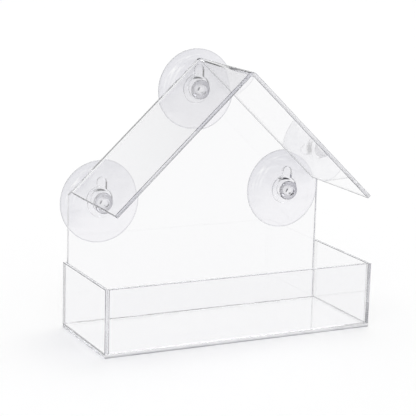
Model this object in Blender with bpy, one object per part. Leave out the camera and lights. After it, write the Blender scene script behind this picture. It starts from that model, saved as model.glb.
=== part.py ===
"""Window bird feeder: a tray of clear sheet under a bent roof, held to a pane by three suction cups."""

import math

import bmesh
import bpy

# Sheet and tray, in metres
SHEET = 0.002
BOND_FILM = 0.0001
TRAY_WIDTH = 0.150
TRAY_DEPTH = 0.057
TRAY_HEIGHT = 0.0345

# Bent roof, which the back panel's outline follows
RIDGE_HEIGHT = 0.1375
RIDGE_INNER_RADIUS = 0.0013
EAVE_INSET = 0.0036
EAVE_HEIGHT = 0.0712
ROOF_OVERHANG = 0.0018
RIDGE_STEPS = 14

# Suction cup: the disc and the boss behind the panel
CUP_RADIUS = 0.0216
CUP_REACH = 0.0044
LIP_WIDTH = 0.0016
LIP_THICKNESS = 0.0009
BOSS_RADIUS = 0.0078
BOSS_DEPTH = 0.0014
BOSS_ROUND = 0.0012
HOLLOW_DEPTH = 0.0016
DISC_SHARES = (0, 0.12, 0.3, 0.5, 0.7, 0.88, 1)
FLARE_POWER = 1.3
HOLLOW_POWER = 1.5

# Suction cup: the neck through the panel and the head in front of it
NECK_RADIUS = 0.0023
FIT_GAP = 0.0003
HEAD_RADIUS = 0.0052
HEAD_HEIGHT = 0.0038
HEAD_BACK_ROUND = 0.0010
DIMPLE_RADIUS = 0.0023
DIMPLE_DEPTH = 0.0005
DIMPLE_SHARES = (0.55, 0.85)
DIMPLE_POWER = 4
CUP_STEPS = 48
DOME_STEPS = 6
BACK_STEPS = 3
AXIS_MERGE = 0.00001

# Keyholes, set out from the roof by where each neck rests, a little under the middle of its round hole
HEAD_PASS_GAP = 0.0006
HOLE_ABOVE_NECK = 0.0012
SLOT_RISE = 0.0103
TOP_CUP_DROP = 0.0171
SIDE_CUP_DROP = 0.0070
SIDE_CUP_INSET = 0.0212
CUTTER_OVERRUN = 0.004

# Places that follow from the sizes above
HALF_WIDTH = TRAY_WIDTH / 2
FRONT_FACE = -TRAY_DEPTH / 2
REAR_FACE = TRAY_DEPTH / 2
PANEL_FACE = REAR_FACE - SHEET
WALL_BASE = SHEET + BOND_FILM
BETWEEN_SIDES = HALF_WIDTH - SHEET - BOND_FILM
EAVE_REACH = HALF_WIDTH - EAVE_INSET
RIDGE_RADIUS = RIDGE_INNER_RADIUS + SHEET
RIDGE_CENTRE = RIDGE_HEIGHT - RIDGE_RADIUS
SLOT_HALF = NECK_RADIUS + FIT_GAP
KEYHOLE_RADIUS = HEAD_RADIUS + HEAD_PASS_GAP
NECK_PLACES = {
    "top": (0, RIDGE_HEIGHT - TOP_CUP_DROP),
    "left": (SIDE_CUP_INSET - HALF_WIDTH, EAVE_HEIGHT - SIDE_CUP_DROP),
    "right": (HALF_WIDTH - SIDE_CUP_INSET, EAVE_HEIGHT - SIDE_CUP_DROP),
}


def clear_scene():
    for found in list(bpy.data.objects):
        bpy.data.objects.remove(found, do_unlink=True)


def clear_plastic(name, colour, roughness, index):
    """A see-through Principled material."""
    material = bpy.data.materials.new(name)
    material.use_nodes = True
    shader = material.node_tree.nodes["Principled BSDF"]
    shader.inputs["Base Color"].default_value = (*colour, 1)
    shader.inputs["Metallic"].default_value = 0
    shader.inputs["Roughness"].default_value = roughness
    shader.inputs["IOR"].default_value = index
    shader.inputs["Transmission Weight"].default_value = 1
    return material


def linked(name, mesh, place):
    """An object of this mesh, moved to its place and held by the feeder's own empty."""
    made = bpy.data.objects.new(name, mesh)
    bpy.context.collection.objects.link(made)
    made.location = place
    if "feeder" not in bpy.data.objects:
        bpy.context.collection.objects.link(bpy.data.objects.new("feeder", None))
    made.parent = bpy.data.objects["feeder"]
    return made


def sheet_piece(name, outline, depth, place, material):
    """An upright outline of (x, z) points, extruded along Y from its place."""
    shape = bmesh.new()
    face = shape.faces.new([shape.verts.new((x, 0, z)) for x, z in outline])
    grown = bmesh.ops.extrude_face_region(shape, geom=[face])["geom"]
    moved = [part for part in grown if isinstance(part, bmesh.types.BMVert)]
    bmesh.ops.translate(shape, verts=moved, vec=(0, depth, 0))
    bmesh.ops.recalc_face_normals(shape, faces=shape.faces)
    mesh = bpy.data.meshes.new(name)
    shape.to_mesh(mesh)
    shape.free()
    mesh.materials.append(material)
    return linked(name, mesh, place)


def rectangle(width, height):
    """An outline that stands on its origin."""
    return [(-width / 2, 0), (width / 2, 0), (width / 2, height), (-width / 2, height)]


def arc(centre, radius, start, end, steps):
    angles = [start + (end - start) * i / steps for i in range(steps + 1)]
    return [(centre[0] + radius * math.cos(a), centre[1] + radius * math.sin(a)) for a in angles]


def make_tray_floor(material):
    place = (0, FRONT_FACE, 0)
    sheet_piece("tray_floor", rectangle(TRAY_WIDTH, SHEET), TRAY_DEPTH, place, material)


def make_side_panels(material):
    """Two walls on the floor's ends, which cover the ends of the front and back panels."""
    outline = rectangle(SHEET, TRAY_HEIGHT - WALL_BASE)
    for name, side in (("left_side_panel", -1), ("right_side_panel", 1)):
        place = (side * (HALF_WIDTH - SHEET / 2), FRONT_FACE, WALL_BASE)
        sheet_piece(name, outline, TRAY_DEPTH, place, material)


def make_front_panel(material):
    outline = rectangle(2 * BETWEEN_SIDES, TRAY_HEIGHT - WALL_BASE)
    sheet_piece("front_panel", outline, SHEET, (0, FRONT_FACE, WALL_BASE), material)


def roof_pitch():
    """The slope of the line from an eave that just touches the outside of the ridge's bend."""
    rise = RIDGE_CENTRE - EAVE_HEIGHT
    span = math.hypot(EAVE_REACH, rise)
    return math.atan2(rise, EAVE_REACH) + math.asin(RIDGE_RADIUS / span)


def ridge_bend(radius):
    """Points over the ridge, from the right slope to the left one."""
    pitch = roof_pitch()
    return arc((0, RIDGE_CENTRE), radius, math.pi / 2 - pitch, math.pi / 2 + pitch, RIDGE_STEPS)


def make_roof(material):
    """One sheet bent over the ridge, its eaves cut square to the slope."""
    pitch = roof_pitch()
    inner_x = EAVE_REACH - SHEET * math.sin(pitch)
    inner_z = EAVE_HEIGHT - SHEET * math.cos(pitch)
    outer = [(EAVE_REACH, EAVE_HEIGHT)] + ridge_bend(RIDGE_RADIUS) + [(-EAVE_REACH, EAVE_HEIGHT)]
    inner = [(inner_x, inner_z)] + ridge_bend(RIDGE_INNER_RADIUS) + [(-inner_x, inner_z)]
    front = FRONT_FACE - ROOF_OVERHANG
    length = PANEL_FACE - BOND_FILM - front
    sheet_piece("roof", outer + inner[::-1], length, (0, front, 0), material)


def keyhole_outline():
    """A round hole that passes the head and a slot above it for the neck, which rests at the origin."""
    hole = (0, HOLE_ABOVE_NECK)
    meet = math.acos(SLOT_HALF / KEYHOLE_RADIUS)
    slot_end = arc((0, SLOT_RISE), SLOT_HALF, 0, math.pi, CUP_STEPS // 4)
    return slot_end + arc(hole, KEYHOLE_RADIUS, math.pi - meet, 2 * math.pi + meet, CUP_STEPS)


def make_back_panel(material):
    """The gabled panel on the floor's rear edge, with a keyhole for each cup."""
    shoulder = EAVE_HEIGHT - (BETWEEN_SIDES - EAVE_REACH) * math.tan(roof_pitch())
    outline = [(-BETWEEN_SIDES, WALL_BASE), (BETWEEN_SIDES, WALL_BASE), (BETWEEN_SIDES, shoulder)]
    outline += ridge_bend(RIDGE_RADIUS) + [(-BETWEEN_SIDES, shoulder)]
    panel = sheet_piece("back_panel", outline, SHEET, (0, PANEL_FACE, 0), material)
    for name, (x, z) in NECK_PLACES.items():
        place = (x, PANEL_FACE - CUTTER_OVERRUN, z)
        through = SHEET + 2 * CUTTER_OVERRUN
        cutter = sheet_piece(name + "_keyhole", keyhole_outline(), through, place, material)
        cutter.hide_render = True
        cutter.display_type = "WIRE"
        cut = panel.modifiers.new(cutter.name, "BOOLEAN")
        cut.operation = "DIFFERENCE"
        cut.solver = "EXACT"
        cut.object = cutter


def disc_profile():
    """From the middle of the hollow over the rim to the neck, as (radius, depth from the panel)."""
    lip_inner = CUP_RADIUS - LIP_WIDTH
    lip_front = CUP_REACH - LIP_THICKNESS
    boss_back = FIT_GAP + BOSS_DEPTH
    points = []
    for share in DISC_SHARES:
        bow = math.cos(math.pi / 2 * share**HOLLOW_POWER)
        points.append((lip_inner * share, CUP_REACH - HOLLOW_DEPTH * bow))
    points.append((CUP_RADIUS, CUP_REACH))
    for share in reversed(DISC_SHARES):
        radius = BOSS_RADIUS + (CUP_RADIUS - BOSS_RADIUS) * share
        points.append((radius, boss_back + (lip_front - boss_back) * share**FLARE_POWER))
    shoulder = (BOSS_RADIUS - BOSS_ROUND, FIT_GAP + BOSS_ROUND)
    points += arc(shoulder, BOSS_ROUND, 0, -math.pi / 2, BACK_STEPS)
    return points + [(NECK_RADIUS, FIT_GAP)]


def head_profile():
    """From the neck over the domed head to the middle of its dimple."""
    back = -SHEET - FIT_GAP
    front = back - HEAD_HEIGHT
    widest = back - HEAD_BACK_ROUND
    rounded = HEAD_RADIUS - HEAD_BACK_ROUND
    points = [(NECK_RADIUS, back)]
    points += arc((rounded, widest), HEAD_BACK_ROUND, math.pi / 2, 0, BACK_STEPS)
    for i in range(1, DOME_STEPS + 1):
        turn = math.pi / 2 * i / DOME_STEPS
        radius = DIMPLE_RADIUS + (HEAD_RADIUS - DIMPLE_RADIUS) * math.cos(turn)
        points.append((radius, widest + (front - widest) * math.sin(turn)))
    for share in reversed(DIMPLE_SHARES):
        points.append((DIMPLE_RADIUS * share, front + DIMPLE_DEPTH * (1 - share**DIMPLE_POWER)))
    return points + [(0, front + DIMPLE_DEPTH)]


def make_cups(material):
    """Three like mouldings, each turned about its neck, with its origin on the way that the neck slides."""
    mesh = bpy.data.meshes.new("suction_cup_profile")
    points = [(radius, 0, depth) for radius, depth in disc_profile() + head_profile()]
    mesh.from_pydata(points, [(i, i + 1) for i in range(len(points) - 1)], [])
    mesh.materials.append(material)
    for name, (x, z) in NECK_PLACES.items():
        cup = linked(name + "_suction_cup", mesh, (x, REAR_FACE, z))
        cup.rotation_euler.x = -math.pi / 2
        turned = cup.modifiers.new("turned", "SCREW")
        turned.axis = "Z"
        turned.steps = turned.render_steps = CUP_STEPS
        turned.use_merge_vertices = True
        turned.merge_threshold = AXIS_MERGE
        turned.use_smooth_shade = True


clear_scene()
acrylic = clear_plastic("clear_acrylic", (0.93, 0.93, 0.96), 0.02, 1.49)
soft_pvc = clear_plastic("clear_soft_pvc", (0.86, 0.86, 0.90), 0.12, 1.53)
make_tray_floor(acrylic)
make_side_panels(acrylic)
make_front_panel(acrylic)
make_back_panel(acrylic)
make_roof(acrylic)
make_cups(soft_pvc)
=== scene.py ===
"""A clear house-shaped window feeder for birds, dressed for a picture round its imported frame."""
import math
from collections import namedtuple

import bmesh
import bpy
from mathutils import Matrix, Vector


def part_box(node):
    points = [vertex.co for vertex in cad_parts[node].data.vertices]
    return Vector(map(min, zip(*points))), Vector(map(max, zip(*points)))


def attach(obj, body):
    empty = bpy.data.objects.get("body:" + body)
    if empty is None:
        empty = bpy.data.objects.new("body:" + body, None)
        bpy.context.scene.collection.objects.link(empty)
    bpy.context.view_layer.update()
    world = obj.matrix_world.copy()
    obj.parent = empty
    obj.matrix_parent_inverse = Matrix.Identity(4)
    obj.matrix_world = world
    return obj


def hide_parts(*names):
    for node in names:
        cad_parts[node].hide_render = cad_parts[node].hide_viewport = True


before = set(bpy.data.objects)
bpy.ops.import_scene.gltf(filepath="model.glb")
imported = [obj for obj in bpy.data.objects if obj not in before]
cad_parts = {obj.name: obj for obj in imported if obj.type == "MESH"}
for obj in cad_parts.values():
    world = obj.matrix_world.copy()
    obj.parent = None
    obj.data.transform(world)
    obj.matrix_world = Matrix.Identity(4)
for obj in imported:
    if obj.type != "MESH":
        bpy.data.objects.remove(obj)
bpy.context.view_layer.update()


# ---------------------------------------------------------------- tray floor
# A rectangle of 2 mm clear cast sheet under the whole tray. It is cut by a saw, so its edges are matt and
# ribbed across the sheet, and their corners are eased by a flame, while both faces keep their polish.

# Lengths are in metres. A SPAN says where a tone starts and ends, and a BAND where one starts, is full, fades
# and ends.
ARRIS, FLOOR_ARRIS = 0.0002, 0.00025
ARRIS_STEPS = 4
STRAIGHT_BELOW, CURVED_BELOW = 0.001, math.radians(30)
# The floor sheet's paler tint is painted light.
SHEET_TINT, FLOOR_PAINTED_LIGHT_TINT = (0.956, 0.956, 0.963), (0.995, 0.995, 0.997)
SAWN_TINT, FROST_TINT = (0.92, 0.92, 0.95), (0.96, 0.96, 0.97)
# The colour of the painted shade on edges and eased corners.
ARRIS_SHADE_TINT = (0.04, 0.04, 0.06)
SHEET_SHADOW, SAWN_SHADOW = (0.93, 0.93, 0.95), 0.45
SHEET_INDEX = 1.49
TEETH_SCALE, FEED_SCALE, PATCH_SCALE = (2600, 240, 1), (210, 30, 1), (70, 40, 1)
WIPE_SCALE, WIPE_TURN = (14, 60, 22), (0.3, 0.5, 0.8)
HAIR_SCALE, HAIR_TURNS = (70, 2300, 900), ((0.2, 0.9, 0.4), (1.3, 0.2, 1.1))
RIB_SPAN, WIPE_SPAN, HAIR_SPAN = (0.35, 0.65), (0.45, 0.85), (0.70, 0.80)
# How much the painted shade on edges varies in patches.
PATCH_SPAN = (0.38, 0.62, 0.88, 1.08)
TEETH_SHARE, FEED_SHARE = 0.6, 0.4
RIB_DARKER, RIB_PALER = 0.97, 1.02
FACE_ROUGH, WIPE_ROUGH, HAIR_ROUGH = 0.012, 0.035, 0.05
SAWN_ROUGH, TEETH_ROUGH, FEED_ROUGH, ARRIS_ROUGH = 0.04, 0.05, 0.03, 0.06
ARRIS_POLISH = 0.6
SAWN_BUMP, HAIR_BUMP, SHEET_BUMP = 0.004, 0.0006, 0.6
MM = 0.001

# One cut edge of a sheet: how far it is sawn, how much painted shade darkens its near corner, its middle and
# its far corner, and how much of its middle is frosted. A pair for the middle goes from near to far.
Edge = namedtuple("Edge", "sawn near middle far frost", defaults=(1, 0.6, 0, 0.6, 0))


class Tree:
    """The nodes of one material or one rule for a shape."""

    def __init__(self, nodes):
        self.tree = nodes
        self.tree.nodes.clear()

    def node(self, kind, settings=None, values=None, out=0):
        made = self.tree.nodes.new(kind)
        for name, value in (settings or {}).items():
            setattr(made, name, value)
        for name, value in (values or {}).items():
            self.feed(made.inputs[name], value)
        return Sum(self, made.outputs[out]) if made.outputs else made

    def feed(self, socket, value):
        if isinstance(value, Sum):
            self.tree.links.new(value.socket, socket)
        else:
            socket.default_value = value

    def maths(self, operation, *values):
        return self.node("ShaderNodeMath", {"operation": operation}, dict(enumerate(values)))

    def parts(self, vector):
        """The three coordinates of a vector."""
        apart = self.tree.nodes.new("ShaderNodeSeparateXYZ")
        self.feed(apart.inputs[0], vector)
        return [Sum(self, socket) for socket in apart.outputs]

    def attribute(self, name, out="Fac"):
        return self.node("ShaderNodeAttribute", {"attribute_name": name}, out=out)

    def scaled(self, place, scale, turn=(0, 0, 0)):
        return self.node("ShaderNodeMapping", values={"Vector": place, "Rotation": turn, "Scale": scale})

    def noise(self, place, flat=False, **values):
        """Noise from 0 to 1, in two dimensions if it is flat."""
        kind = {"noise_dimensions": "2D" if flat else "3D"}
        return self.node("ShaderNodeTexNoise", kind, {"Vector": place, "Scale": 1, **values}, "Fac")

    def span(self, value, start, end, low=0.0, high=1.0):
        """Eases from low to high while the value goes from start to end."""
        ends = {"From Min": start, "From Max": end, "To Min": low, "To Max": high, "Value": value}
        return self.node("ShaderNodeMapRange", {"interpolation_type": "SMOOTHSTEP"}, ends)

    def band(self, value, start, full, fading, end):
        """Eases from 0 to 1 between start and full, and back to 0 between fading and end."""
        return self.span(value, start, full) * self.span(value, fading, end, 1, 0)

    def blend(self, share, first, second):
        """A colour between two, by a share."""
        mix = self.tree.nodes.new("ShaderNodeMix")
        mix.data_type = "RGBA"
        self.feed(mix.inputs[0], share)
        for socket, value in ((mix.inputs[6], first), (mix.inputs[7], second)):
            self.feed(socket, value if isinstance(value, Sum) else (*value, 1))
        return Sum(self, mix.outputs[2])


class Sum:
    """A socket that sums can be written on."""

    def __init__(self, owner, socket):
        self.owner, self.socket = owner, socket

    def __add__(self, other):
        return self.owner.maths("ADD", self, other)

    def __sub__(self, other):
        return self.owner.maths("SUBTRACT", self, other)

    def __rsub__(self, other):
        return self.owner.maths("SUBTRACT", other, self)

    def __mul__(self, other):
        return self.owner.maths("MULTIPLY", self, other)

    def __truediv__(self, other):
        return self.owner.maths("DIVIDE", self, other)

    def __pow__(self, other):
        return self.owner.maths("POWER", self, other)

    __radd__, __rmul__ = __add__, __mul__


def new_finish(name):
    """A new material and its tree."""
    made = bpy.data.materials.new(name)
    made.use_nodes = True
    return made, Tree(made.node_tree)


def lamps_pass(tree, shader, share, tint):
    """Lets that share of a lamp's light through a clear shader, which shuts lamps out otherwise."""
    path = tree.node("ShaderNodeLightPath", out="Is Shadow Ray")
    open_air = tree.node("ShaderNodeBsdfTransparent", values={"Color": (*tint, 1)})
    mixed = tree.node("ShaderNodeMixShader", values={0: path * share, 1: shader, 2: open_air})
    tree.node("ShaderNodeOutputMaterial", values={"Surface": mixed})


def acrylic_finish():
    """Polished faces with faint wipe marks and hairlines, and matt edges ribbed by the saw.

    Its attributes are how far a face is sawn or frosted, how much painted shade darkens an edge or an eased
    corner, and whether the sheet is the floor's, which painted light tints paler than the rest.
    """
    made, tree = new_finish("clear_acrylic")
    place = tree.node("ShaderNodeTexCoord", out="Object")
    run = tree.node("ShaderNodeUVMap", {"uv_map": "run"})
    sawn, painted_arris_shade, frost, pale = (tree.attribute(name) for name in ("sawn", "painted_arris_shade", "frost", "pale"))

    teeth = tree.noise(tree.scaled(run, TEETH_SCALE), flat=True, Detail=3, Roughness=0.6)
    feed_marks = tree.noise(tree.scaled(run, FEED_SCALE), flat=True, Detail=2)
    patches = tree.noise(tree.scaled(run, PATCH_SCALE), flat=True, Detail=1)
    wipe = tree.noise(tree.scaled(place, WIPE_SCALE, WIPE_TURN), Detail=5, Distortion=0.8)
    lines = [tree.noise(tree.scaled(place, HAIR_SCALE, turn), Detail=1) for turn in HAIR_TURNS]
    hair = sum(tree.span(fine, *HAIR_SPAN) for fine in lines)
    ribs = tree.span(teeth * TEETH_SHARE + feed_marks * FEED_SHARE, *RIB_SPAN)
    # Painted shade on edges and eased corners, coming and going in patches.
    dark = painted_arris_shade * tree.span(patches, *PATCH_SPAN)

    face_rough = FACE_ROUGH + tree.span(wipe, *WIPE_SPAN, 0, WIPE_ROUGH) + hair * HAIR_ROUGH
    edge_rough = SAWN_ROUGH + teeth * TEETH_ROUGH + feed_marks * FEED_ROUGH
    edge_rough = edge_rough * sawn * (1 - painted_arris_shade * ARRIS_POLISH) + painted_arris_shade * ARRIS_ROUGH
    rough = face_rough * (1 - sawn) + edge_rough

    edge_colour = tree.blend(ribs, *([c * tone for c in SAWN_TINT] for tone in (RIB_DARKER, RIB_PALER)))
    # Painted light: the floor sheet gets a paler tint than the others.
    colour = tree.blend(sawn, tree.blend(pale, SHEET_TINT, FLOOR_PAINTED_LIGHT_TINT), edge_colour)
    # Painted shade: edges and eased corners darken towards the shade tint.
    colour = tree.blend(dark, colour, ARRIS_SHADE_TINT)

    height = (teeth + feed_marks) * sawn * (1 - painted_arris_shade) * SAWN_BUMP + hair * HAIR_BUMP
    bump = tree.node("ShaderNodeBump", values={
        "Height": height, "Distance": MM, "Strength": SHEET_BUMP}, out="Normal")
    clear = tree.node("ShaderNodeBsdfPrincipled", values={
        "Base Color": colour, "Roughness": rough, "Normal": bump,
        "IOR": SHEET_INDEX, "Transmission Weight": 1})
    powdery = tree.node("ShaderNodeBsdfDiffuse", values={"Color": (*FROST_TINT, 1)})
    cut = tree.node("ShaderNodeMixShader", values={0: frost, 1: clear, 2: powdery})
    lamps_pass(tree, cut, 1 - SAWN_SHADOW * sawn, SHEET_SHADOW)
    return made


def stand(name, data):
    """A new object in the scene."""
    made = bpy.data.objects.new(name, data)
    bpy.context.collection.objects.link(made)
    return made


def finished(name, shape):
    """The object that a bmesh makes, with its faces turned outward."""
    bmesh.ops.recalc_face_normals(shape, faces=shape.faces)
    mesh = bpy.data.meshes.new(name)
    shape.to_mesh(mesh)
    shape.free()
    return stand(name, mesh)


def moved_in(points, distance):
    """A closed outline with its sheet on the left, each side moved into the sheet."""
    moved = []
    for i, (x, y) in enumerate(points):
        before = Vector((x - points[i - 1][0], y - points[i - 1][1])).normalized()
        after = Vector(points[(i + 1) % len(points)]) - Vector((x, y))
        after.normalize()
        left = Vector((-before.y, before.x)), Vector((-after.y, after.x))
        shift = (left[0] + left[1]) * distance / (1 + left[0].dot(left[1]))
        moved.append((x + shift.x, y + shift.y))
    return moved


def turns_at(points):
    """The angle by which an outline turns at each point."""
    turns = []
    for i, (x, y) in enumerate(points):
        before = Vector((x - points[i - 1][0], y - points[i - 1][1]))
        after = Vector(points[(i + 1) % len(points)]) - Vector((x, y))
        turns.append(abs(before.angle_signed(after)))
    return turns


def cut_sheet(name, outlines, edges, near, thickness, axis, ends_cut=None, ease=ARRIS):
    """A sheet with these outlines, the first round it and the rest round its holes.

    The axis is the way through the sheet. Each side of each outline has its Edge. Where the outline is that
    of a bent sheet's end, its flat faces are cut too, with one Edge left of the bend and one right of it, and
    only the near end is frosted.
    """
    put = {"x": lambda a, b, d: (d, a, b),
           "y": lambda a, b, d: (a, d, b),
           "z": lambda a, b, d: (a, b, d)}[axis]
    turn = [math.pi / 2 * i / ARRIS_STEPS for i in range(ARRIS_STEPS + 1)]
    eased = [(ease * (1 - math.sin(t)), ease * (1 - math.cos(t))) for t in turn]
    section = eased + [(inset, thickness - depth) for inset, depth in reversed(eased)]
    along = [0]
    for (inset, depth), (next_inset, next_depth) in zip(section, section[1:]):
        along.append(along[-1] + math.hypot(next_inset - inset, next_depth - depth))

    shape = bmesh.new()
    uv = shape.loops.layers.uv.new("run")
    sawn = shape.faces.layers.float.new("sawn")
    painted_arris_shade = shape.loops.layers.float.new("painted_arris_shade")
    frost = shape.faces.layers.float.new("frost")
    ends = [[], []]
    for points, sides in zip(outlines, edges):
        rings = [[shape.verts.new(put(a, b, near + depth)) for a, b in moved_in(points, inset)]
                 for inset, depth in section]
        turns = turns_at(points)
        reach = [0]
        for i, point in enumerate(points):
            reach.append(reach[-1] + math.dist(point, points[(i + 1) % len(points)]))
        for k, (ring, following) in enumerate(zip(rings, rings[1:])):
            for i in range(len(points)):
                j = (i + 1) % len(points)
                face = shape.faces.new((ring[i], ring[j], following[j], following[i]))
                curved = [CURVED_BELOW > turns[p] > STRAIGHT_BELOW for p in (i, j)]
                face.smooth = k != ARRIS_STEPS or all(curved)
                side = sides[i]
                face[sawn] = side.sawn
                # How much painted shade darkens this face's corners, taken from its Edge.
                dark = side.near if k < ARRIS_STEPS else side.far if k > ARRIS_STEPS else side.middle
                dark = dark if isinstance(dark, tuple) else (dark, dark)
                face[frost] = side.frost * (k == ARRIS_STEPS)
                corners = ((i, k), (i + 1, k), (i + 1, k + 1), (i, k + 1))
                for corner, (r, c) in zip(face.loops, corners):
                    corner[uv].uv = (reach[r], along[c])
                    corner[painted_arris_shade] = dark[c - k]
                if turns[i] > CURVED_BELOW:
                    shape.edges.get((ring[i], following[i])).smooth = False
        for end, ring in zip(ends, (rings[0], rings[-1])):
            end += [shape.edges.get((ring[i - 1], ring[i])) for i in range(len(ring))]
    for end in ends:
        flat = bmesh.ops.triangle_fill(shape, edges=end, use_beauty=True)["geom"]
        for face in (part for part in flat if isinstance(part, bmesh.types.BMFace)):
            face.smooth = False
            if ends_cut:
                side = ends_cut[face.calc_center_median().x > 0]
                face[sawn], face[frost] = side.sawn, side.frost * (end is ends[0])
            for corner in face.loops:
                # A bent sheet's cut ends take the painted shade of their Edge's middle.
                corner[painted_arris_shade] = side.middle if ends_cut else 0
                x, y, z = corner.vert.co
                corner[uv].uv = {"x": (y, z), "y": (x, z), "z": (x, y)}[axis]
    return finished(name, shape)


def box_outline(node, first, second):
    """The rectangle that a flat node fills, seen along its thickness."""
    low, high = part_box(node)
    return [(low[first], low[second]), (high[first], low[second]),
            (high[first], high[second]), (low[first], high[second])]


def fit_sheet(piece, node):
    """Puts the piece in the place of the frame's plain sheet and lets it move with the feeder."""
    piece.data.materials.append(acrylic)
    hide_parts(node)
    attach(piece, "feeder")


acrylic = acrylic_finish()
low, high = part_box("tray_floor")
# Its edges are the front, right, rear and left ones. Painted light tints its faces paler than the other
# sheets'.
# Painted shadow darkens the front edge from its lower corner up, standing in for a contact shadow.
floor_edges = [Edge(0.2, 1, (1, 0.1), 0.1, 0.4), Edge(), Edge(), Edge(0.5, near=0.1, far=0, frost=0.3)]
floor_sheet = cut_sheet("tray_floor_sheet", [box_outline("tray_floor", 0, 1)], [floor_edges],
                        low[2], high[2] - low[2], "z", ease=FLOOR_ARRIS)
pale = floor_sheet.data.attributes.new("pale", "FLOAT", "POINT")
pale.data.foreach_set("value", [1.0] * len(floor_sheet.data.vertices))
fit_sheet(floor_sheet, "tray_floor")


# ---------------------------------------------------------------- tray walls
# Two end walls stand on the floor's ends, and the front wall stands between them on its front edge. All are
# sawn from the same sheet and bonded with a thin solvent, which leaves the joints clear.

FOOT_EDGE = Edge(0, 0, 0, 0)

# The edges of an end wall are the foot, the rear, the top and the front.
# Painted shade darkens their corners, most on the top and the front.
wall_edges = {
    "left": [FOOT_EDGE, Edge(near=0.4, far=0.3), Edge(near=0.9, far=0.9),
             Edge(near=1, middle=(0.3, 0), far=0.8)],
    "right": [Edge(0, 0.8, 0, 0), Edge(), Edge(near=0.9, far=0.9),
              Edge(near=0.5, middle=0.65, far=1)],
}
for side, edges in wall_edges.items():
    node = side + "_side_panel"
    low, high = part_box(node)
    wall = cut_sheet(side + "_wall", [box_outline(node, 1, 2)], [edges], low[0], high[0] - low[0], "x")
    fit_sheet(wall, node)

# The edges of the front wall are the foot, the right end, the top and the left end.
low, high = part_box("front_panel")
# Painted shade darkens their corners, most on the top.
front_edges = [FOOT_EDGE, Edge(near=0.3, far=0.3), Edge(near=0.8, far=0.8), Edge(near=0.3, far=0.3)]
front_wall = cut_sheet("front_wall", [box_outline("front_panel", 0, 2)], [front_edges],
                       low[1], high[1] - low[1], "y")
fit_sheet(front_wall, "front_panel")


# ---------------------------------------------------------------- back panel
# A tall sheet with a gabled top, which stands on the floor's rear edge between the end walls. It is cut by a
# laser, with a keyhole for each suction cup: a round hole for the cup's head and a slot above for its neck.

RIDGE_BEND = 0.0033
RIDGE_STEPS = 28
EAVE_REACH, EAVE_HEIGHT = 0.0714, 0.0712
KEYHOLE_RADIUS = 0.0058
HOLE_ABOVE_NECK = 0.0012
SLOT_HALF = 0.0026
SLOT_RISE = 0.0103
HOLE_STEPS = 72
SLOT_STEPS = 24


def arc(centre, radius, start, end, steps):
    angles = [start + (end - start) * i / steps for i in range(steps + 1)]
    return [(centre[0] + radius * math.cos(a), centre[1] + radius * math.sin(a)) for a in angles]


def keyhole(x, z):
    """A keyhole round a neck that rests at this place: its hole from right to left, then its slot."""
    meet = math.acos(SLOT_HALF / KEYHOLE_RADIUS)
    hole = arc((x, z + HOLE_ABOVE_NECK), KEYHOLE_RADIUS, math.pi - meet, 2 * math.pi + meet, HOLE_STEPS)
    return (arc((x, z + SLOT_RISE), SLOT_HALF, 0, math.pi, SLOT_STEPS) + hole)[::-1]


# The edges of a keyhole are those of the hole, one step, those of the slot's round top and one step.
# Painted shade darkens the corners of the hole and of the steps a little; the slot's round top is frosted.
keyhole_edges = [Edge(0.1, 0.25, 0, 0.15)] * HOLE_STEPS + [Edge(0.1, 0.25, 0.05, 0.1)]
keyhole_edges += [Edge(0, 0, 0, 0, 0.6)] * SLOT_STEPS + [Edge(0.1, 0.5, 0.1, 0.35)]

low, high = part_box("back_panel")
ridge_z = high[2] - RIDGE_BEND
rise = ridge_z - EAVE_HEIGHT
pitch = math.atan2(rise, EAVE_REACH) + math.asin(RIDGE_BEND / math.hypot(EAVE_REACH, rise))
shoulder = EAVE_HEIGHT - (high[0] - EAVE_REACH) * math.tan(pitch)


def over_ridge(radius):
    return arc((0, ridge_z), radius, math.pi / 2 - pitch, math.pi / 2 + pitch, RIDGE_STEPS)


gable = [(low[0], low[2]), (high[0], low[2]), (high[0], shoulder)] + over_ridge(RIDGE_BEND)
gable.append((low[0], shoulder))
# The edges of the panel are the foot, the right side, the right slope with the ridge's round, the left slope
# and the left side. Painted shade makes those on the right dark; those on the left are frosted powdery and
# less shaded.
gable_edges = [FOOT_EDGE, Edge(near=1, middle=1, far=1)]
gable_edges += [Edge(0, near=1, middle=1, far=1)] * (RIDGE_STEPS + 1)
gable_edges += [Edge(near=0.2, far=0.8, frost=0.4), Edge(near=0.1, far=0.1, frost=0.8)]
cups = {}
for side in ("top", "left", "right"):
    cup_low, cup_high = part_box(side + "_suction_cup")
    cups[side] = ((cup_low[0] + cup_high[0]) / 2, (cup_low[2] + cup_high[2]) / 2)
keyholes = [keyhole(x, z) for x, z in cups.values()]
back_sheet = cut_sheet("back_sheet", [gable] + keyholes, [gable_edges] + [keyhole_edges] * len(keyholes),
                       low[1], high[1] - low[1], "y")
fit_sheet(back_sheet, "back_panel")


# ---------------------------------------------------------------- roof
# One sheet, warmed along a line and bent over the ridge to a tight round. Its rear edge is bonded to the
# front face of the back panel, and its front edge stands a little past the tray.

EAVE_EASE = 0.00025
BEAD_LEG = 0.00035
BEAD_STEPS = 5
RIDGE_INNER_RADIUS = 0.0013
BEAD_CLEARANCE = 0.00002
# How much painted shade darkens the cement bead.
BEAD_SHADE = 0.3
# Painted shade darkens these steps of the ridge's outer bend, most towards the rear.
RIDGE_SEEN = slice(5, 14)  # the steps of the outer bend that look dark towards the rear

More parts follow.
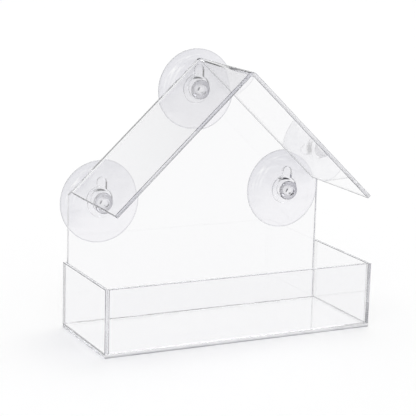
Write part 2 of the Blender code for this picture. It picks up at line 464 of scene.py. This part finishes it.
low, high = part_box("roof")
thickness = RIDGE_BEND - RIDGE_INNER_RADIUS
down_slope = Vector((math.cos(pitch), -math.sin(pitch)))
into_sheet = Vector((-math.sin(pitch), -math.cos(pitch)))
eave = Vector((EAVE_REACH, EAVE_HEIGHT))
eave_end = [eave - down_slope * EAVE_EASE,
            eave + into_sheet * EAVE_EASE,
            eave + into_sheet * (thickness - EAVE_EASE),
            eave + into_sheet * thickness - down_slope * EAVE_EASE]
right_end = [tuple(point) for point in eave_end]
left_end = [(-x, z) for x, z in right_end]
outer = over_ridge(RIDGE_BEND)
inner = over_ridge(RIDGE_INNER_RADIUS)[::-1]
bent = right_end[:1] + outer + left_end + inner + right_end[:0:-1]
# Painted shade darkens the corners of the slopes, the front ones most, the whole left eave and the outer
# corner of the right eave.
outer_right, outer_left = Edge(0, 1, 0, 1), Edge(0, 0.9, 0, 0.2)
inner_right, inner_left = Edge(0, 1, 0, 0.3), Edge(0, 0.9, 0, 0.2)
left_eave = [Edge(1, 1, 1, 1), Edge(1, 1, 0.4, 1), Edge(1, 1, 1, 1)]
right_eave = [Edge(1, 0.3, 0.1, 0.3), Edge(1, 0.3, 0, 0.3), Edge(1, 1, 0.9, 1)]

# The edges go over the outside from the right eave to the left one, round that eave, back along the inside
# and round the right eave.
half_bend = RIDGE_STEPS // 2
bent_edges = [outer_right] * (half_bend + 1) + [outer_left] * (half_bend + 1) + left_eave
# Painted shade on the ridge: dark corners, and a middle that darkens from the front to the rear.
bent_edges[RIDGE_SEEN] = [Edge(0, 1, (0, 0.9), 1)] * len(bent_edges[RIDGE_SEEN])
bent_edges += [inner_left] * (half_bend + 1) + [inner_right] * (half_bend + 1) + right_eave
# Painted shade darkens the roof's cut ends a little, and the right half of its front end is frosted.
ends_cut = (Edge(middle=0.12), Edge(middle=0.05, frost=0.55))
roof_sheet = cut_sheet("roof_sheet", [bent], [bent_edges], low[1], high[1] - low[1], "y", ends_cut)
fit_sheet(roof_sheet, "roof")


def cement_bead(name, ends, under, front, leg):
    """A hollow fillet of cured cement in the corner under the roof, between its ends in (x, z)."""
    turns = [math.pi / 2 * i / BEAD_STEPS for i in range(BEAD_STEPS + 1)]
    section = [(0, 0)] + [(leg * (1 - math.sin(turn)), leg * (1 - math.cos(turn))) for turn in turns]
    shape = bmesh.new()
    painted_arris_shade = shape.faces.layers.float.new("painted_arris_shade")
    rings = []
    for point in ends:
        spots = [(forward, point + under * down) for forward, down in section]
        rings.append([shape.verts.new((spot.x, front - forward, spot.y)) for forward, spot in spots])
    for i in range(len(section)):
        j = (i + 1) % len(section)
        shape.faces.new((rings[0][i], rings[0][j], rings[1][j], rings[1][i]))
    shape.faces.new(rings[0])
    shape.faces.new(rings[1][::-1])
    for face in shape.faces:
        # Painted shade darkens all of the bead's faces.
        face[painted_arris_shade] = BEAD_SHADE
    return finished(name, shape)


bead_ends = [Vector(inner[-1]) + into_sheet * BEAD_CLEARANCE,
             eave + into_sheet * (thickness + BEAD_CLEARANCE)]
bead = cement_bead("roof_bead", bead_ends, into_sheet, high[1] - BEAD_CLEARANCE, BEAD_LEG)
bead.data.materials.append(acrylic)
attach(bead, "feeder")


# ---------------------------------------------------------------- suction cups
# Three like mouldings in clear soft vinyl: a thin hollow disc, a boss, a short neck and a mushroom head with
# a dimple. Each is pushed head first through its keyhole and holds by its neck.

CUP_RADIUS, CUP_REACH = 0.0216, 0.0044
LIP_WIDTH, LIP_THICKNESS, LIP_ROUND = 0.0016, 0.0009, 0.00025
BOSS_RADIUS, BOSS_DEPTH, BOSS_ROUND = 0.0078, 0.0014, 0.0012
HOLLOW_DEPTH = 0.0016
FLARE_POWER, HOLLOW_POWER = 1.3, 1.5
FIT_GAP = 0.0003
SHEET = 0.002
NECK_RADIUS = 0.0023
HEAD_RADIUS, HEAD_HEIGHT, HEAD_BACK_ROUND = 0.0052, 0.0038, 0.0010
DIMPLE_RADIUS, DIMPLE_DEPTH = 0.0023, 0.0005
HEAD_EASE, DOME_EASE = 0.0004, 0.0006
EYE_SPAN, EYE_POLISH_SPAN = (0.0024, 0.0028), (0.0024, 0.0032)
TICK_ACROSS, TICK_UP, TICK_SLANT, TICK_REACH = -0.0022, 0.0008, 0.8, (0.0006, 0.0009)
# Where the painted shade on the boss lies: a short arc above the neck.
BOSS_SHADE_BAND, BOSS_SHADE_UP = (0.0052, 0.0054, 0.0060, 0.0062), (0.0048, 0.0054)
# Where the painted highlights lie on the disc, how their rings run and how strong they are.
HIGHLIGHT_BAND, HIGHLIGHT_SPAN, HIGHLIGHT_SIDE = (0.0130, 0.0150, 0.0180, 0.0195), (0.50, 0.62), (0.014, 0.020)
HIGHLIGHT_RINGS, HIGHLIGHT_RUN, HIGHLIGHT_SHARE, RIM_SHARE = 900, 70, 0.8, 0.8
RIM_SPAN = (CUP_RADIUS - 0.0009, CUP_RADIUS - 0.0003)
SWELL_ACROSS, SWELL_UP = 0.011, 0.017
WAVER, WAVER_BAND = 0.00055, (0.0085, 0.0125, 0.0165, 0.0200)
FIRST_DRAW = 3.1
LIP_STEPS, BOSS_STEPS, HEAD_BACK_STEPS, HEAD_STEPS, DIMPLE_STEPS = 4, 5, 6, 14, 8
DISC_STEPS = 26
CUP_ROUNDS = 128
DOUBLES = 2e-6
SHARP_ABOVE = math.radians(50)
# The disc's own tint, and the painted shade it darkens to towards the upper left.
DISC_LOW_TINT, DISC_SHADE_TINT = (0.95, 0.945, 0.965), (0.79, 0.79, 0.825)
# The colour of the rim's painted shade.
RIM_SHADE_TINT = (0.70, 0.70, 0.73)
# The painted shade of the head's ring: its colour, its cloudy share's colour and that share, how dark it is,
# and how much darker it grows towards the right and the bottom.
HEAD_SHADE_TINT = (0.10, 0.095, 0.135)
HEAD_SHADED_POWDER = (0.36, 0.35, 0.41)
HEAD_HAZE = 0.25
HEAD_DARK, HEAD_LEAN, HEAD_SINK = 0.48, 0.42, 0.04
# The dark colour of the tick and of the painted shade on the boss.
TICK_AND_SHADE_TINT = (0.012, 0.012, 0.016)
VINYL_SHADOW, VINYL_PASS = (0.86, 0.86, 0.90), 0.85
VINYL_INDEX = 1.53
VINYL_ROUGH, HAZE_ROUGH, FINE_ROUGH, HEAD_ROUGH, EYE_ROUGH = 0.05, 0.07, 0.02, 0.08, 0.12
FLOW_BUMP, FINE_BUMP, VINYL_BUMP = 0.02, 0.002, 0.5
CLOUD_SCALE, FINE_SCALE = 42, 2200
FLOW_SCALE, FLOW_TURN = (28, 28, 120), (0, 0.7, 0)
HAZE_SPAN, SHADE_SPAN, SHADE_LEAN, SHADE_CLOUD = (0.35, 0.68), (-0.018, 0.024), 0.45, 0.012


def cup_profile():
    """From the middle of the hollow over the rim, the boss and the neck to the dimple, as (radius, depth).

    Depths are measured from the back panel's rear face towards the pane.
    """
    lip_inner = CUP_RADIUS - LIP_WIDTH
    lip_front = CUP_REACH - LIP_THICKNESS
    boss_back = FIT_GAP + BOSS_DEPTH
    back = -SHEET - FIT_GAP
    widest = back - HEAD_BACK_ROUND
    front = back - HEAD_HEIGHT
    shares = [i / DISC_STEPS for i in range(DISC_STEPS + 1)]
    points = []
    for share in shares:
        bow = math.cos(math.pi / 2 * share**HOLLOW_POWER)
        points.append((lip_inner * share, CUP_REACH - HOLLOW_DEPTH * bow))
    points += arc((CUP_RADIUS - LIP_ROUND, CUP_REACH - LIP_ROUND), LIP_ROUND, math.pi / 2, 0, LIP_STEPS)
    points += arc((CUP_RADIUS - LIP_ROUND, lip_front + LIP_ROUND), LIP_ROUND, 0, -math.pi / 2, LIP_STEPS)
    for share in reversed(shares[:-1]):
        radius = BOSS_RADIUS + (CUP_RADIUS - BOSS_RADIUS) * share
        points.append((radius, boss_back + (lip_front - boss_back) * share**FLARE_POWER))
    boss = (BOSS_RADIUS - BOSS_ROUND, FIT_GAP + BOSS_ROUND)
    points += arc(boss, BOSS_ROUND, 0, -math.pi / 2, BOSS_STEPS)
    points += [(NECK_RADIUS, FIT_GAP), (NECK_RADIUS, (FIT_GAP + back) / 2), (NECK_RADIUS, back)]
    head = (HEAD_RADIUS - HEAD_BACK_ROUND, widest)
    points += arc(head, HEAD_BACK_ROUND, math.pi / 2, 0, HEAD_BACK_STEPS)
    for i in range(1, HEAD_STEPS + 1):
        turn = math.pi / 2 * i / HEAD_STEPS
        radius = DIMPLE_RADIUS + (HEAD_RADIUS - DIMPLE_RADIUS) * math.cos(turn)
        points.append((radius, widest + (front - widest) * math.sin(turn)))
    for i in range(1, DIMPLE_STEPS + 1):
        share = 1 - i / DIMPLE_STEPS
        points.append((DIMPLE_RADIUS * share, front + DIMPLE_DEPTH * (1 - share**4)))
    return points


def turned_moulding():
    """A rule that turns a profile about a neck along Y and lets its disc waver a little."""
    group = bpy.data.node_groups.new("turned_moulding", "GeometryNodeTree")
    made = Tree(group)
    for name, kind in (("Profile", "Geometry"), ("Rounds", "Int"), ("Neck", "Vector"),
                       ("Waver", "Float"), ("Draw", "Float"), ("Finish", "Material")):
        group.interface.new_socket(name, in_out="INPUT", socket_type="NodeSocket" + kind)
    group.interface.new_socket("Moulding", in_out="OUTPUT", socket_type="NodeSocketGeometry")

    def given(name):
        return made.node("NodeGroupInput", out=name)

    rows = made.node("GeometryNodeAttributeDomainSize", values={0: given("Profile")}, out="Point Count")
    columns = given("Rounds") + 1
    grid = made.tree.nodes.new("GeometryNodeMeshGrid")
    made.feed(grid.inputs["Vertices X"], rows)
    made.feed(grid.inputs["Vertices Y"], columns)
    index = made.node("GeometryNodeInputIndex")
    row = made.maths("FLOOR", (index + 0.5) / columns)
    turn = (index - row * columns) * (2 * math.pi) / given("Rounds")
    sampled = made.node("GeometryNodeSampleIndex", {"data_type": "FLOAT_VECTOR", "domain": "POINT"}, {
        "Geometry": given("Profile"), "Index": row, "Value": made.node("GeometryNodeInputPosition")})
    radius, depth, _ = made.parts(sampled)
    across, up = radius * made.maths("COSINE", turn), radius * made.maths("SINE", turn)
    swell = made.node("ShaderNodeCombineXYZ", values={"X": across / SWELL_ACROSS, "Z": up / SWELL_UP})
    ripple = made.node("ShaderNodeTexNoise", {"noise_dimensions": "4D"}, {
        "Vector": swell, "W": given("Draw"), "Scale": 1, "Detail": 2, "Distortion": 0.7}, "Fac")
    wavered = depth + (ripple - 0.5) * made.band(radius, *WAVER_BAND) * given("Waver")
    spot = made.node("ShaderNodeCombineXYZ", values={"X": across, "Y": wavered, "Z": up})
    place = made.node("ShaderNodeVectorMath", {"operation": "ADD"}, {0: spot, 1: given("Neck")})
    shaped = made.node("GeometryNodeSetPosition", values={
        "Geometry": Sum(made, grid.outputs["Mesh"]), "Position": place})
    mapped = made.node("GeometryNodeStoreNamedAttribute", {"data_type": "FLOAT2", "domain": "CORNER"}, {
        "Geometry": shaped, "Name": "run", "Value": Sum(made, grid.outputs["UV Map"])})
    placed = made.node("GeometryNodeStoreNamedAttribute", {"data_type": "FLOAT_VECTOR", "domain": "POINT"}, {
        "Geometry": mapped, "Name": "spot", "Value": spot})
    joined = made.node("GeometryNodeMergeByDistance", values={"Geometry": placed, "Distance": DOUBLES})
    smooth = made.node("GeometryNodeSetShadeSmooth", values={"Geometry": joined})
    real = made.node("GeometryNodeRealizeInstances", values={"Geometry": smooth})
    dressed = made.node("GeometryNodeSetMaterial", values={"Geometry": real, "Material": given("Finish")})
    made.node("NodeGroupOutput", values={"Moulding": dressed})
    return group


def vinyl_finish():
    """Clear soft vinyl, hazy in its disc, with flow marks, handling marks, painted shade and painted
    highlights.
    """
    made, tree = new_finish("clear_soft_pvc")
    place = tree.node("ShaderNodeTexCoord", out="Object")
    cloud = tree.noise(place, Scale=CLOUD_SCALE, Detail=2, Distortion=0.8)
    flow = tree.noise(tree.scaled(place, FLOW_SCALE, FLOW_TURN), Detail=3, Distortion=1.5)
    fine = tree.noise(place, Scale=FINE_SCALE, Detail=2)

    across, depth, up = tree.parts(tree.attribute("spot", out="Vector"))
    radius = (across * across + up * up) ** 0.5
    in_head = tree.span(depth, -SHEET, -SHEET - HEAD_EASE)
    dome = tree.span(depth, -SHEET - HEAD_BACK_ROUND, -SHEET - HEAD_BACK_ROUND - DOME_EASE)
    head_ring = dome * tree.span(radius, *EYE_SPAN)
    head_eye = dome * tree.span(radius, *EYE_POLISH_SPAN, 1, 0)
    # Painted shade: a dark ring in the head's dome, darker towards its right.
    head_shade = head_ring * (HEAD_DARK + (across * HEAD_LEAN - up * HEAD_SINK) / HEAD_RADIUS)
    past_tick = across - TICK_ACROSS
    from_tick = (past_tick ** 2 + (up - TICK_UP - past_tick * TICK_SLANT) ** 2) ** 0.5
    tick = dome * tree.span(from_tick, *TICK_REACH, 1, 0)
    # Painted shade: a short dark arc on the boss's face above the neck, seen through the slot's mouth.
    boss_arc_shade = tree.band(radius, *BOSS_SHADE_BAND) * tree.span(up, *BOSS_SHADE_UP) * tree.span(depth, 0, FIT_GAP / 2)
    marks = tree.maths("MAXIMUM", tick, boss_arc_shade)
    # Painted shade: the rim darkens to a grey line.
    rim = tree.span(radius, *RIM_SPAN)

    # Painted highlights: white arcs concentric with the rim on the disc's upper left.
    ring_way = tree.node("ShaderNodeCombineXYZ", values={
        "X": radius * HIGHLIGHT_RINGS, "Y": (across + up) * HIGHLIGHT_RUN})
    painted_highlights = tree.span(tree.noise(ring_way, Detail=2, Distortion=0.3), *HIGHLIGHT_SPAN)
    painted_highlights = painted_highlights * tree.span(up - across, *HIGHLIGHT_SIDE) * tree.band(radius, *HIGHLIGHT_BAND)
    haze = tree.span(cloud * 0.5 + flow * 0.5, *HAZE_SPAN)
    # Painted shade: the disc darkens towards its upper left.
    shaded = tree.span(up - across * SHADE_LEAN + (haze - 0.5) * SHADE_CLOUD, *SHADE_SPAN)
    colour = tree.blend(shaded, DISC_LOW_TINT, DISC_SHADE_TINT)
    colour = tree.blend(painted_highlights * HIGHLIGHT_SHARE, colour, (1, 1, 1))
    colour = tree.blend(rim * RIM_SHARE, colour, RIM_SHADE_TINT)
    # The head's painted shade darkens its colour and its cloudy share's colour.
    colour = tree.blend(head_shade, colour, HEAD_SHADE_TINT)
    powder_and_shade = tree.blend(head_shade, DISC_LOW_TINT, HEAD_SHADED_POWDER)
    # The tick and the boss's painted shade take their dark colour.
    colour = tree.blend(marks, colour, TICK_AND_SHADE_TINT)
    rough = VINYL_ROUGH + haze * HAZE_ROUGH + fine * FINE_ROUGH + in_head * HEAD_ROUGH + head_eye * EYE_ROUGH
    bump = tree.node("ShaderNodeBump", values={
        "Height": flow * FLOW_BUMP + fine * FINE_BUMP, "Distance": MM, "Strength": VINYL_BUMP}, out="Normal")
    clear = tree.node("ShaderNodeBsdfPrincipled", values={
        "Base Color": colour, "Roughness": rough, "Normal": bump,
        "IOR": VINYL_INDEX, "Transmission Weight": 1})
    cloudy = tree.node("ShaderNodeBsdfDiffuse", values={"Color": powder_and_shade})
    mixed = tree.node("ShaderNodeMixShader", values={0: head_ring * HEAD_HAZE, 1: clear, 2: cloudy})
    lamps_pass(tree, mixed, VINYL_PASS, VINYL_SHADOW)
    return made


vinyl = vinyl_finish()
moulding = turned_moulding()
inputs = [item for item in moulding.interface.items_tree if item.in_out == "INPUT"]
sockets = {item.name: item.identifier for item in inputs}
points = cup_profile()
steps = [(i, i + 1) for i in range(len(points) - 1)]
for draw, (side, (x, z)) in enumerate(cups.items()):
    profile = bpy.data.meshes.new(side + "_profile")
    profile.from_pydata([(radius, depth, 0) for radius, depth in points], steps, [])
    drawn = stand(side + "_profile", profile)
    rule = drawn.modifiers.new("turned", "NODES")
    rule.node_group = moulding
    sheet_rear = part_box(side + "_suction_cup")[1][1] - CUP_REACH
    given = {"Rounds": CUP_ROUNDS, "Neck": (x, sheet_rear, z), "Waver": WAVER, "Draw": FIRST_DRAW + draw,
             "Finish": vinyl}
    for name, value in given.items():
        rule[sockets[name]] = value
    evaluated = drawn.evaluated_get(bpy.context.evaluated_depsgraph_get())
    mesh = bpy.data.meshes.new_from_object(evaluated)
    bpy.data.objects.remove(drawn)
    closed = bmesh.new()
    closed.from_mesh(mesh)
    bmesh.ops.remove_doubles(closed, verts=closed.verts, dist=DOUBLES)
    bmesh.ops.recalc_face_normals(closed, faces=closed.faces)
    closed.to_mesh(mesh)
    closed.free()
    mesh.set_sharp_from_angle(angle=SHARP_ABOVE)
    cup = stand(side + "_cup_moulding", mesh)
    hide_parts(side + "_suction_cup")
    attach(cup, side + "_cup")


# ---------------------------------------------------------------- studio
# A plain white floor and soft light from above and from the right rear. The camera stands where the
# photograph's did, to the left of the feeder and a little above it.

GLASS_BOUNCES = 48
PAPER_REACH, PAPER_DROP = 6.0, 0.0002
PAPER_COLOUR = (0.92, 0.92, 0.92)
WHITE_TO_CAMERA, WHITE_TO_GLASS = 0.32, 0.45
SKY_LEVEL = 0.72
# From which height to which, and from which strength to which, the sky that glass sees greys and pales.
SKY_GREYS, SKY_PALES = (0.30, 0.60, 1.0, 0.30), (0.80, 0.90, 0.0, 0.9)
# Where each lamp shines from, its spread in degrees and its power.
LAMPS = {"soft_key": ((0.55, 0.40, 1.0), 38, 1.15), "soft_fill": ((-0.5, -0.9, 0.9), 70, 0.35)}
CAMERA_PLACE = (-0.344613, -0.676123, 0.230986)
CAMERA_RIGHT = (0.89708, -0.440999, 0.027713)
CAMERA_AHEAD = (0.436142, 0.873646, -0.215692)
SENSOR_MM, LENS_MM, NEAR_CLIP, FAR_CLIP = 36, 130.908, 0.05, 50

bpy.context.scene.view_settings.view_transform = "Standard"
light_paths = bpy.context.scene.cycles
light_paths.max_bounces = light_paths.transmission_bounces = light_paths.glossy_bounces = GLASS_BOUNCES


def rays(tree):
    """Whether a ray comes from the camera, from a glossy face or through a clear one; the last is both."""
    return [tree.node("ShaderNodeLightPath", out="Is " + kind + " Ray")
            for kind in ("Camera", "Glossy", "Transmission")]


corners = [(-1, -1), (1, -1), (1, 1), (-1, 1)]
corners = [(x * PAPER_REACH, y * PAPER_REACH, -PAPER_DROP) for x, y in corners]
ground_mesh = bpy.data.meshes.new("studio_floor")
ground_mesh.from_pydata(corners, [], [(0, 1, 2, 3)])
ground = stand("studio_floor", ground_mesh)
paper, tree = new_finish("studio_paper")
camera_ray, glossy_ray, clear_ray = rays(tree)
seen = camera_ray * WHITE_TO_CAMERA + (glossy_ray + clear_ray) * WHITE_TO_GLASS
lit = tree.node("ShaderNodeBsdfDiffuse", values={"Color": (*PAPER_COLOUR, 1)})
glow = tree.node("ShaderNodeEmission", values={"Color": (1, 1, 1, 1), "Strength": 1.0})
mixed = tree.node("ShaderNodeMixShader", values={0: seen, 1: lit, 2: glow})
tree.node("ShaderNodeOutputMaterial", values={"Surface": mixed})
ground_mesh.materials.append(paper)

# The camera sees a white sky. Glass sees it white near the horizon, grey further up and paler again overhead,
# and never more than white. All scattered light comes from an even, pale grey sky.
world = bpy.data.worlds.new("studio")
world.use_nodes = True
bpy.context.scene.world = world
tree = Tree(world.node_tree)
camera_ray, glossy_ray, clear_ray = rays(tree)
height = tree.parts(tree.node("ShaderNodeTexCoord", out="Generated"))[2]
shade = tree.span(height, *SKY_GREYS) + tree.span(height, *SKY_PALES)
in_glass = glossy_ray + clear_ray
shown = camera_ray + in_glass * shade + (1 - camera_ray - in_glass) * SKY_LEVEL
shown = tree.node("ShaderNodeClamp", values={"Value": shown})
bounces = tree.node("ShaderNodeLightPath", out="Diffuse Depth")
scattered = tree.node("ShaderNodeClamp", values={"Value": bounces})
strength = shown + (SKY_LEVEL - shown) * scattered
sky = tree.node("ShaderNodeBackground", values={"Color": (1, 1, 1, 1), "Strength": strength})
tree.node("ShaderNodeOutputWorld", values={"Surface": sky})

for name, (place, spread, power) in LAMPS.items():
    lamp = bpy.data.lights.new(name, "SUN")
    lamp.angle, lamp.energy = math.radians(spread), power
    stand(name, lamp).rotation_euler = (-Vector(place)).to_track_quat("-Z", "Y").to_euler()

lens = bpy.data.cameras.new("camera")
lens.sensor_width, lens.lens = SENSOR_MM, LENS_MM
lens.clip_start, lens.clip_end = NEAR_CLIP, FAR_CLIP
right, ahead = Vector(CAMERA_RIGHT).normalized(), Vector(CAMERA_AHEAD).normalized()
columns = right, right.cross(ahead).normalized(), -ahead, Vector(CAMERA_PLACE)
camera = stand("camera", lens)
camera.matrix_world = Matrix([[column[i] for column in columns] for i in range(3)] + [[0, 0, 0, 1]])
bpy.context.scene.camera = camera
